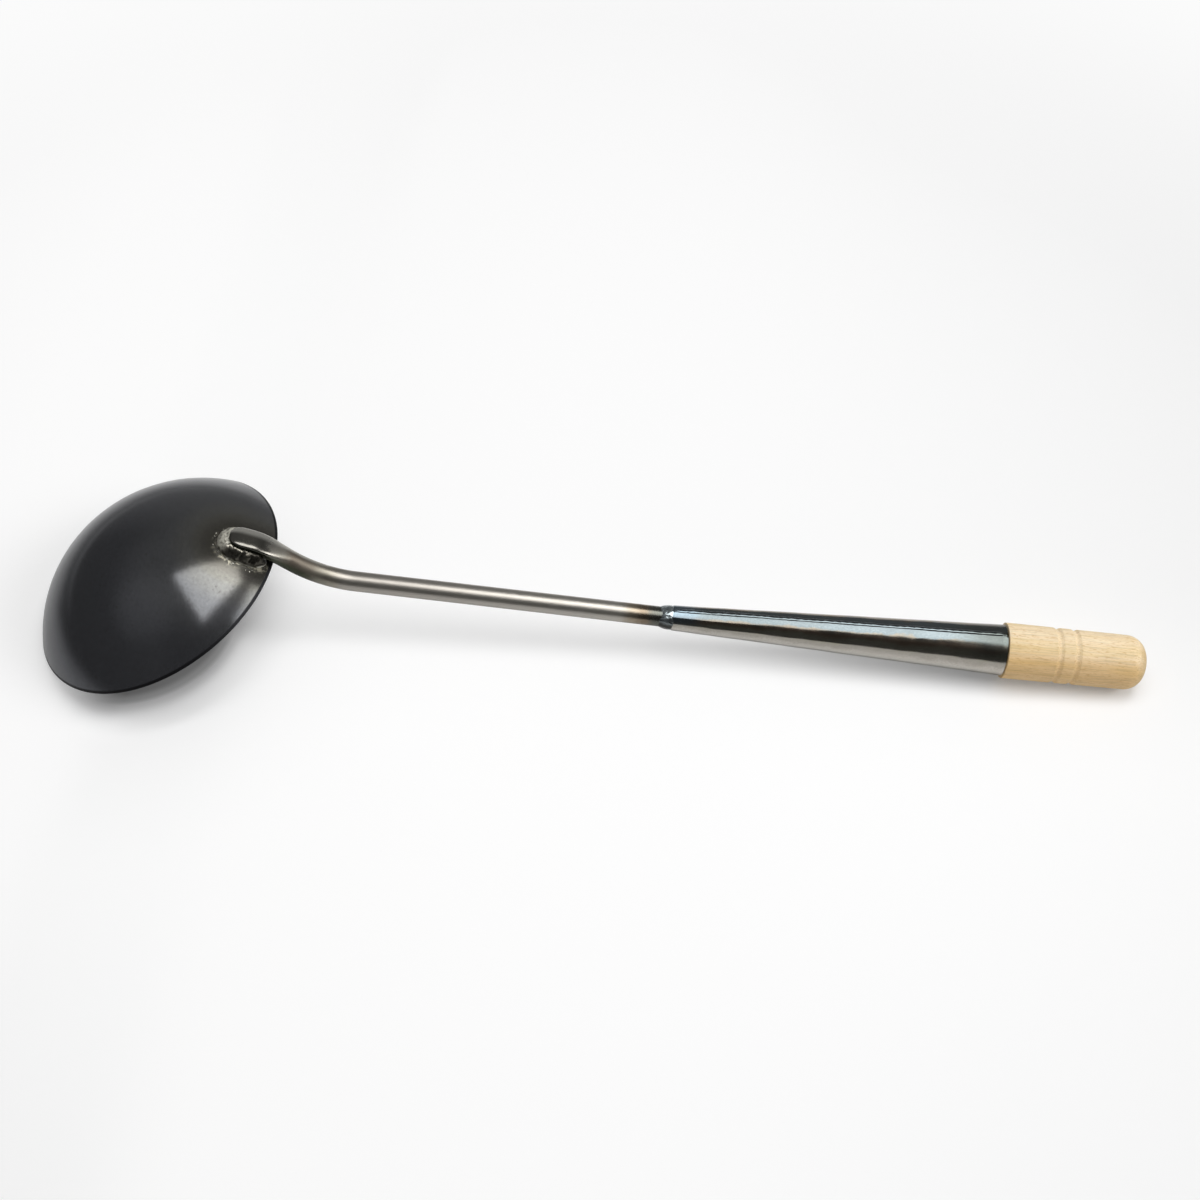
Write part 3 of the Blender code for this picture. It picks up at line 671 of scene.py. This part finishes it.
def bluedSheet():
    # mild-steel sheet, rolled and heat-blued: a thin glassy oxide, slate blue along the hot seam,
    # brown-grey lower down, with sharp reflections; painted shade dims the top next to the wood
    material, add = newMaterial("mildSteelSheetHeatBlued")
    place = add("TexCoord", out="Object")
    seamTurn = add("Attribute", attribute_name="seamTurn", out="Fac")
    alongMm = add("Attribute", attribute_name="alongMm", out="Fac")
    cloud, fine = (
        add("TexNoise", {
            "Vector": place, "Scale": 1 / size, "Detail": detail, "Roughness": grain}, out="Fac")
        for size, detail, grain in ((0.009, 4, 0.55), (0.0006, 3, 0.5)))
    wander = add("Math", [cloud, 0.24, -0.12], operation="MULTIPLY_ADD")
    turned = add("Math", [seamTurn, wander], operation="ADD", use_clamp=True)
    colour = add("ValToRGB", [turned], stops=[
        (0.0, "#5b6264"), (0.12, "#5d6466"), (0.17, "#6a655c"), (0.22, "#807163"), (0.30, "#908e80"),
        (0.40, "#96928a"), (0.5, "#a9a59e"), (1.0, "#acaaa6")])
    share = add("Math", [alongMm, 1 / 131], operation="MULTIPLY", use_clamp=True)
    neck = add("ValToRGB", [share], stops=[(0.0, 0.95), (0.05, 0.8), (0.10, 0.0), (1.0, 0.0)])
    atWood = add("ValToRGB", [share], stops=[(0.0, 0.0), (0.80, 0.0), (0.96, 0.66)])
    onTop = add("ValToRGB", [seamTurn], stops=[(0.28, 1.0), (0.40, 0.0)])
    blued = add("Math", [neck, onTop], operation="MULTIPLY")
    paintedShadeByWood = add("Math", [atWood, onTop], operation="MULTIPLY")
    for cover, paint in (blued, "#66727a"), (paintedShadeByWood, "#4b4e48"):  # heat tint beside the neck weld; the top by the wood is darkened as painted shade on the lamp's reflection
        colour = add("Mix", {0: cover, 6: colour, 7: paint}, data_type="RGBA", out=2)
    shade = add("ValToRGB", [fine], stops=[(0.3, 0.9), (0.7, 1.06)])
    toned = add("Mix", {0: 1.0, 6: colour, 7: shade}, data_type="RGBA", blend_type="MULTIPLY", out=2)
    gloss = add("ValToRGB", [cloud], stops=[(0.3, 0.10), (0.7, 0.17)])
    rough = add("Math", [paintedShadeByWood, 0.16, gloss], operation="MULTIPLY_ADD")
    skin = add("Bump", {"Height": fine, "Strength": 0.05, "Distance": 0.00005})
    shader = add("BsdfPrincipled", {
        "Base Color": toned, "Metallic": 1.0, "Roughness": rough, "Normal": skin})
    add("OutputMaterial", {"Surface": shader})
    return material


coneSteel = bluedSheet()


def coneMarks(mesh):
    storeNumbers(mesh, "alongMm", [vertex.co.z * 1000 for vertex in mesh.vertices])
    storeNumbers(mesh, "seamTurn", [abs(math.atan2(v.co.y, -v.co.x)) / math.pi for v in mesh.vertices])


def makeCone():
    mouth, end, wall = coneMouthRadius, cone["endDiameter"] / 2, cone["wall"]
    soft = wall / 4
    profile = [(end - wall + soft, cone["length"]), (end - soft, cone["length"])]
    for along in spread(cone["length"] - soft, cone["mouthEdge"], cone["steps"]):
        profile.append((mouth + coneTaper * along, along))
    profile += [(mouth - cone["mouthEdge"], 0), (mouth - wall, 0)]
    for along in spread(cone["innerStart"], cone["length"] - soft, cone["innerSteps"]):
        profile.append((mouth - wall + coneTaper * along, along))
    mesh = turnedMesh("socketCone", profile, cone["around"], coneSkin)
    coneMarks(mesh)
    finishPiece("socketCone", mesh, coneSteel, "socket_cone", toHandle)


makeCone()

seamBead = {
    "sink": 0.00010, "endGap": 0.0004, "endFade": (-0.0005, 0.003), "points": 160,
    "step": 0.0004, "width": 0.0009, "height": 0.00040, "sides": 20, "pitch": 0.0032, "rippleDepth": 0.00006,
    "rippleBow": 0.5, "lumpiness": 0.00030, "lumpSize": 0.004, "seed": 7.0,
}
neckBead = {
    "shift": -0.0021, "wander": 0.0007, "slope": 0.13, "bite": 0.0002, "swell": 0.06, "points": 72,
    "sootAndShade": 0.95, "underShadeSide": (-0.0038, -0.0005),
    "step": 0.0002, "width": 0.00105, "height": 0.0032, "sides": 48, "pitch": 0.0026, "rippleDepth": 0.00012,
    "rippleBow": 0.6, "lumpiness": 0.0005, "lumpSize": 0.0028, "seed": 11.0,
}


def makeSeamWeld():
    points, radii = [], []
    for along in spread(seamBead["endGap"], cone["length"] - seamBead["endGap"], seamBead["points"]):
        radius = coneMouthRadius + coneTaper * along
        crest = coneSkin(Vector((-radius, 0, along)))
        points.append(crest + Vector((seamBead["sink"], 0, 0)))
        radii.append(math.sqrt(smooth(*seamBead["endFade"], min(along, cone["length"] - along))))
    mesh = runBead("seamWeldTree", lineCurve("seamWeldLine", points, radii), seamBead, coneSteel)
    coneMarks(mesh)
    finishPiece("seamWeld", mesh, coneSteel, "seam_weld", toHandle)


makeSeamWeld()


def makeNeckWeld():
    steel = weldSteel("fillerSteelBlueBead", "#a0a9ac", "#363c40", 0.17)
    reach = rodRadius - neckBead["bite"]
    points, radii = [], []
    for i in range(neckBead["points"]):
        turn = 2 * math.pi * i / neckBead["points"]
        shift = neckBead["shift"] + neckBead["wander"] * math.sin(2 * turn + 0.6)
        points.append(Vector((reach * math.cos(turn), reach * math.sin(turn), shift)))
        radii.append(1 + neckBead["swell"] * math.sin(3 * turn + 1))
    mesh = runBead("neckWeldTree", lineCurve("neckWeldLine", points, radii, closed=True), neckBead, steel)
    for vertex in mesh.vertices:  # the bead climbs from the bar to the wider cone
        grown = 1 + neckBead["slope"] * (vertex.co.z - neckBead["shift"]) / rodRadius
        vertex.co.x, vertex.co.y = vertex.co.x * grown, vertex.co.y * grown
    sootAndShade = [neckBead["sootAndShade"] * smooth(*neckBead["underShadeSide"], vertex.co.x) for vertex in mesh.vertices]
    storeNumbers(mesh, "sootAndShade", sootAndShade)  # painted shade below
    finishPiece("neckWeld", mesh, steel, "neck_weld", toHandle)


makeNeckWeld()

grip = {
    "length": 0.0554, "shoulder": 0.0220, "end": 0.0215, "shoulderEdge": 0.0004, "corner": 0.0075,
    "grooves": (0.0203, 0.0271), "grooveWidth": 0.0032, "grooveDepth": 0.0006, "grooveGap": 0.0001,
    "tenon": 0.050, "tenonGap": 0.00025, "tenonEdge": 0.001, "shoulderGap": 0.0002,
    "around": 144, "step": 0.0005, "flatSteps": 6, "cornerSteps": 28, "sideSteps": 82, "grooveSteps": 17,
    "edgeSteps": 5, "toolMarks": 0.000025, "toolMarkWidth": 0.004, "toolMarkLength": 0.0016,
    "goldenSide": (-0.0098, -0.0040), "endGrain": (0.005, 0.0015),  # across the blank; back from the end
}


def gripRadius(along):
    start = grip["length"] - grip["corner"]
    radius = (grip["shoulder"] + (grip["end"] - grip["shoulder"]) * min(along / start, 1)) / 2
    for middle in grip["grooves"]:
        reach = (along - middle) / (grip["grooveWidth"] / 2)
        if abs(reach) < 1:
            radius -= grip["grooveDepth"] * (0.5 + 0.5 * math.cos(math.pi * reach))
    return radius


def turnedBeech():
    # beech, lathe-turned and left unvarnished: pale pinkish tan, fine lines along the grain,
    # short dark ray flecks, a golden side, dry matt surface
    material, add = newMaterial("beechTurnedBare")
    place = add("Attribute", attribute_name="grainPlace", out="Vector")
    axes = add("SeparateXYZ", [place], out=None)
    grains = []
    for width, length, detail, bend in (
            (0.0030, 0.050, 3, 0.3), (0.00045, 0.011, 3, 0.0), (0.00030, 0.0021, 1, 0.0)):
        drawnOut = add("Mapping", {"Vector": place, "Scale": (1 / width, 1 / width, 1 / length)})
        grains.append(add("TexNoise", {
            "Vector": drawnOut, "Scale": 1.0, "Detail": detail, "Distortion": bend}, out="Fac"))
    bands, lines, flecks = grains
    colour = add("ValToRGB", [bands], stops=[
        (0.25, "#d3b988"), (0.42, "#dec79d"), (0.58, "#e4cfac"), (0.8, "#e8d7b8")])
    # golden on the near side (towards -y), and the cut fibres of the end drink the light
    goldenSide = add("MapRange", [axes["Y"], *grip["goldenSide"], 0.54, 0.0], interpolation_type="SMOOTHSTEP")
    ends = [cone["length"] + grip["length"] - back for back in grip["endGrain"]]
    endGrain = add("MapRange", [axes["Z"], *ends, 0.0, 0.7], interpolation_type="SMOOTHSTEP")
    for cover, paint in (goldenSide, "#cda057"), (endGrain, "#b99f73"):
        colour = add("Mix", {0: cover, 6: colour, 7: paint}, data_type="RGBA", out=2)
    shade = add("ValToRGB", [lines], stops=[(0.30, 0.80), (0.5, 0.97), (0.70, 1.05)])
    grained = add("Mix", {0: 1.0, 6: colour, 7: shade}, data_type="RGBA", blend_type="MULTIPLY", out=2)
    dark = add("ValToRGB", [flecks], stops=[(0.0, 0.0), (0.54, 0.0), (0.72, 0.6)])
    flecked = add("Mix", {0: dark, 6: grained, 7: "#b98f58"}, data_type="RGBA", out=2)
    rough = add("ValToRGB", [lines], stops=[(0.3, 0.66), (0.7, 0.56)])
    height = add("Math", [lines, flecks], operation="SUBTRACT")
    skin = add("Bump", {"Height": height, "Strength": 0.25, "Distance": 0.0001})
    shader = add("BsdfPrincipled", {
        "Base Color": flecked, "Roughness": rough, "IOR": 1.45, "Specular IOR Level": 0.3, "Normal": skin})
    add("OutputMaterial", {"Surface": shader})
    return material


def turnedWood(point):
    radius = math.hypot(point.x, point.y)
    if radius < tiny:
        return point
    width, length = grip["toolMarkWidth"], grip["toolMarkLength"]
    mark = noise.noise(Vector((point.x / width, point.y / width, point.z / length)))
    grown = 1 + grip["toolMarks"] * mark / radius
    return Vector((point.x * grown, point.y * grown, point.z))


def makeGrip():
    start = grip["length"] - grip["corner"]
    flat = grip["end"] / 2 - grip["corner"]
    profile = [(0, grip["length"])]
    profile += [(radius, grip["length"]) for radius in spread(0, flat, grip["flatSteps"])[1:-1]]
    for turn in spread(0, math.pi / 2, grip["cornerSteps"]):
        profile.append((flat + grip["corner"] * math.sin(turn), start + grip["corner"] * math.cos(turn)))
    half = grip["grooveWidth"] / 2
    marks = spread(start - grip["step"], grip["shoulderEdge"], grip["sideSteps"])
    for middle in grip["grooves"]:
        marks = [m for m in marks if abs(m - middle) > half + grip["grooveGap"]]
        marks += [middle + half * math.cos(turn) for turn in spread(0, math.pi, grip["grooveSteps"])]
    profile += [(gripRadius(along), along) for along in sorted(marks, reverse=True)]
    edge = grip["shoulderEdge"] - grip["shoulderGap"]
    for turn in spread(0, math.pi / 2, grip["edgeSteps"])[1:]:
        inset = edge * (1 - math.cos(turn))
        profile.append((grip["shoulder"] / 2 - inset, grip["shoulderEdge"] - edge * math.sin(turn)))
    bore = cone["endDiameter"] / 2 - cone["wall"] - grip["tenonGap"]
    foot = bore - coneTaper * grip["tenon"]
    profile += [(bore, grip["shoulderGap"]), (foot, grip["tenonEdge"] - grip["tenon"]),
                (foot - grip["tenonEdge"], -grip["tenon"]), (0, -grip["tenon"])]
    raised = [(radius, along + cone["length"]) for radius, along in profile]
    mesh = turnedMesh("woodGrip", raised, grip["around"], turnedWood)
    places = mesh.attributes.new("grainPlace", "FLOAT_VECTOR", "POINT")
    places.data.foreach_set("vector", [c for v in mesh.vertices for c in v.co])
    finishPiece("woodGrip", mesh, turnedBeech(), "wood_grip", toHandle)


makeGrip()

white = 0.97  # level of the paper and the room where the camera looks past the ladle

paper = {
    "radius": 6.0, "sides": 96, "colour": "#eeeeee", "bowlFoot": (-0.1844, -0.0055, 0),
    "paintedShadow": [(0.0, 0.36), (0.056, 0.39), (0.094, 0.62), (0.133, 1.0), (0.181, 1.2), (0.272, 1.0),
                (0.333, 0.97), (1.0, 1.0)],
}
paperRamps = {  # what is measured, the kind of ramp, from where to where, and the levels there
    "even": ("x", "LINEAR", -0.35, 0.35, 1.235, 0.715),
    "beyond": ("y", "SMOOTHSTEP", -0.06, 0.06, 0.0, 0.07),
    "inner": ("x", "LINEAR", -0.26, -0.12, 0.0, 1.0),
    "ring": ("offBowl", "LINEAR", 0.0316, 0.1216, 0.0, 1.0),
    "byBowl": ("x", "LINEAR", -0.195, -0.178, 0.0, 1.0),
    "nearRim": ("y", "LINEAR", -0.014, -0.004, 1.0, 0.0),
    "farSeen": ("away", "SMOOTHSTEP", 0.26, 0.62, 0.0, 1.0),
    "rise": ("x", "SMOOTHSTEP", -0.15, -0.105, 0.0, 0.52),
    "fall": ("x", "SMOOTHSTEP", 0.02, 0.17, 1.0, 0.35),
    "pastBowl": ("x", "SMOOTHSTEP", -0.211, -0.180, 0.48, 0.0),
    "farMirrored": ("away", "SMOOTHSTEP", 0.2, 0.46, 0.0, 1.0),
    "leftward": ("offBowl", "LINEAR", 0.055, 0.16, 0.0, 0.84),
    "nearSide": ("y", "LINEAR", 0.01, 0.09, 1.0, 0.0),
    "leftSide": ("x", "LINEAR", -0.21, -0.16, 1.0, 0.0),
    "behind": ("y", "LINEAR", 0.0, 0.4, 0.13, 0.40),
}


def mattPaper():
    # matt paper: the camera sees it evened out to white, with a painted contact shadow by the bowl's near
    # rim and painted light in the shadows under the bar and past the bowl's tip; metal sees it darken away
    # from the lamps
    material, add = newMaterial("paperFloorMatt")
    place = add("TexCoord", out="Object")
    axes = add("SeparateXYZ", [place], out=None)
    away = add("VectorMath", [place], operation="LENGTH", out="Value")
    offBowl = add("VectorMath", [place, paper["bowlFoot"]], operation="DISTANCE", out="Value")
    measures = {"x": axes["X"], "y": axes["Y"], "away": away, "offBowl": offBowl}
    ramp = {}
    for name, (measure, kind, *span) in paperRamps.items():
        ramp[name] = add("MapRange", [measures[measure], *span], interpolation_type=kind)
    spare, underRim, paintedFillUnderBar, corner = (
        add("Math", [ramp[one], ramp[other]], operation="MULTIPLY") for one, other in (
            ("beyond", "inner"), ("byBowl", "nearRim"), ("rise", "fall"), ("nearSide", "leftSide")))
    ray = add("LightPath", out=None)
    evened = add("Math", [ramp["even"], spare], operation="SUBTRACT")
    # painted contact shadow along the bowl's near rim
    paintedShadow = add("ValToRGB", [ramp["ring"]], stops=paper["paintedShadow"])
    paintedShadowMix = add("Mix", {0: underRim, 2: 1.0, 3: paintedShadow})
    shaded = add("Math", [evened, paintedShadowMix], operation="MULTIPLY")
    shown = add("Mix", {0: ray["Is Camera Ray"], 6: paper["colour"], 7: shaded}, data_type="RGBA", out=2)
    diffuse = add("BsdfDiffuse", {"Color": shown})
    # painted light lifting the shadow under the raised bar and past the bowl's tip
    paintedFill = add("Math", [paintedFillUnderBar, ramp["pastBowl"]], operation="MAXIMUM")
    whitened = add("Math", [ramp["farSeen"], paintedFill], operation="MAXIMUM")
    dimLeft = add("Math", [ramp["leftward"], corner], operation="MULTIPLY")
    mirrored = add("Math", [ramp["farMirrored"], dimLeft], operation="MAXIMUM")
    seen = add("Math", [whitened, ray["Is Camera Ray"]], operation="MULTIPLY")
    fade = add("Math", [mirrored, ray["Is Glossy Ray"], seen], operation="MULTIPLY_ADD", use_clamp=True)
    level = add("Mix", {0: ray["Is Camera Ray"], 2: ramp["behind"], 3: white})
    glow = add("Emission", {"Color": (1, 1, 1, 1), "Strength": level})
    mixed = add("MixShader", [fade, diffuse, glow])
    add("OutputMaterial", {"Surface": mixed})
    return material


def makeFloor():
    bm = bmesh.new()
    bmesh.ops.create_circle(bm, cap_ends=True, radius=paper["radius"], segments=paper["sides"])
    mesh = bpy.data.meshes.new("paperFloor")
    bm.to_mesh(mesh)
    bm.free()
    mesh.materials.append(mattPaper())
    floor = bpy.data.objects.new("paperFloor", mesh)
    scene.collection.objects.link(floor)


roomGlow = (-0.45, -0.30, 0.84)  # way to a soft glow up on the left
roomRamps = {  # rows as above
    "back": ("y", "SMOOTHSTEP", 0.5, 0.95, 0.12, 0.31),
    "high": ("z", "SMOOTHSTEP", 0.5, 0.85, 0.0, 0.12),
    "front": ("y", "LINEAR", -0.65, -0.2, 0.0, 1.0),
    "glow": ("glow", "SMOOTHSTEP", 0.87, 0.99, 0.0, 0.14),
    "curtain": ("y", "LINEAR", -0.66, -0.46, 0.04, 0.0),
    "hung": ("x", "LINEAR", -0.25, 0.0, 0.0, 1.0),
}


def makeRoom():
    # a dim grey room: lighter wall behind and ceiling, a dark curtain in front; white to the camera
    world = bpy.data.worlds.new("studioRoom")
    scene.world = world
    add = emptyTree(world)
    way = add("TexCoord", out="Generated")
    axes = add("SeparateXYZ", [way], out=None)
    towards = add("VectorMath", [way, roomGlow], operation="DOT_PRODUCT", out="Value")
    measures = {"x": axes["X"], "y": axes["Y"], "z": axes["Z"], "glow": towards}
    ramp = {}
    for name, (measure, kind, *span) in roomRamps.items():
        ramp[name] = add("MapRange", [measures[measure], *span], interpolation_type=kind)
    walls = add("Math", [ramp["high"], ramp["front"], ramp["back"]], operation="MULTIPLY_ADD")
    bright = add("Math", [walls, ramp["glow"]], operation="ADD")
    dark = add("Math", [ramp["curtain"], ramp["hung"]], operation="MULTIPLY")
    room = add("Math", [bright, dark], operation="SUBTRACT")
    ray = add("LightPath", out=None)
    shown = add("Mix", {0: ray["Is Camera Ray"], 2: room, 3: white})
    background = add("Background", {"Color": (1, 1, 1, 1), "Strength": shown})
    add("OutputWorld", {"Surface": background})


softbox = {
    "centre": (0.373, 0.193, 1.241), "turn": (39.5, -1.6, -52.1), "size": (0.552, 1.60), "level": 4.85,
    "fade": ("LINEAR", 0.0, 0.5, 0.72, 1.25),  # its near end is dimmer
}
sidePanel = {
    "centre": (1.82, -0.26, 1.56), "aim": (-0.13, 0, 0.04), "size": (1.42, 1.12), "level": 5.9,
    "fade": ("SMOOTHSTEP", 0.5, 1.0, 1.08, 0.45),  # its upper edge is feathered
}


def makeLamp(name, settings, turn):
    light = bpy.data.lights.new(name, "AREA")
    light.shape = "RECTANGLE"
    light.size, light.size_y = settings["size"]
    light.energy = settings["level"] * math.pi * light.size * light.size_y
    add = emptyTree(light)
    cloth = add("NewGeometry", out="Parametric")
    along = add("SeparateXYZ", [cloth], out="Y")
    kind, *span = settings["fade"]
    level = add("MapRange", [along, *span], interpolation_type=kind)
    glow = add("Emission", {"Strength": level})
    add("OutputLight", {"Surface": glow})
    lamp = bpy.data.objects.new(name, light)
    lamp.location = settings["centre"]
    lamp.rotation_euler = turn
    scene.collection.objects.link(lamp)


photoView = {
    "sensor": 36, "lensPixels": 1524.9, "photoPixels": 1200, "lift": 52.58, "yaw": -4.98, "away": 0.6082,
    "target": (0.00653, 0.00569, 0.020),
}


def makeCamera():
    view = bpy.data.cameras.new("photoCamera")
    view.sensor_width = photoView["sensor"]
    view.lens = photoView["sensor"] * photoView["lensPixels"] / photoView["photoPixels"]
    camera = bpy.data.objects.new("photoCamera", view)
    lift, yaw = math.radians(photoView["lift"]), math.radians(photoView["yaw"])
    back = Vector((-math.cos(lift) * math.sin(yaw), -math.cos(lift) * math.cos(yaw), math.sin(lift)))
    right = Vector((math.cos(yaw), -math.sin(yaw), 0))
    turned = Matrix((right, back.cross(right), back)).transposed().to_4x4()
    place = Vector(photoView["target"]) + photoView["away"] * back
    camera.matrix_world = Matrix.Translation(place) @ turned
    scene.collection.objects.link(camera)
    scene.camera = camera


makeFloor()
makeRoom()
makeLamp("softbox", softbox, [math.radians(turn) for turn in softbox["turn"]])
panelWay = Vector(sidePanel["aim"]) - Vector(sidePanel["centre"])
makeLamp("sidePanel", sidePanel, panelWay.to_track_quat("-Z", "Y").to_euler())
makeCamera()
print("studio, lamps and camera set")
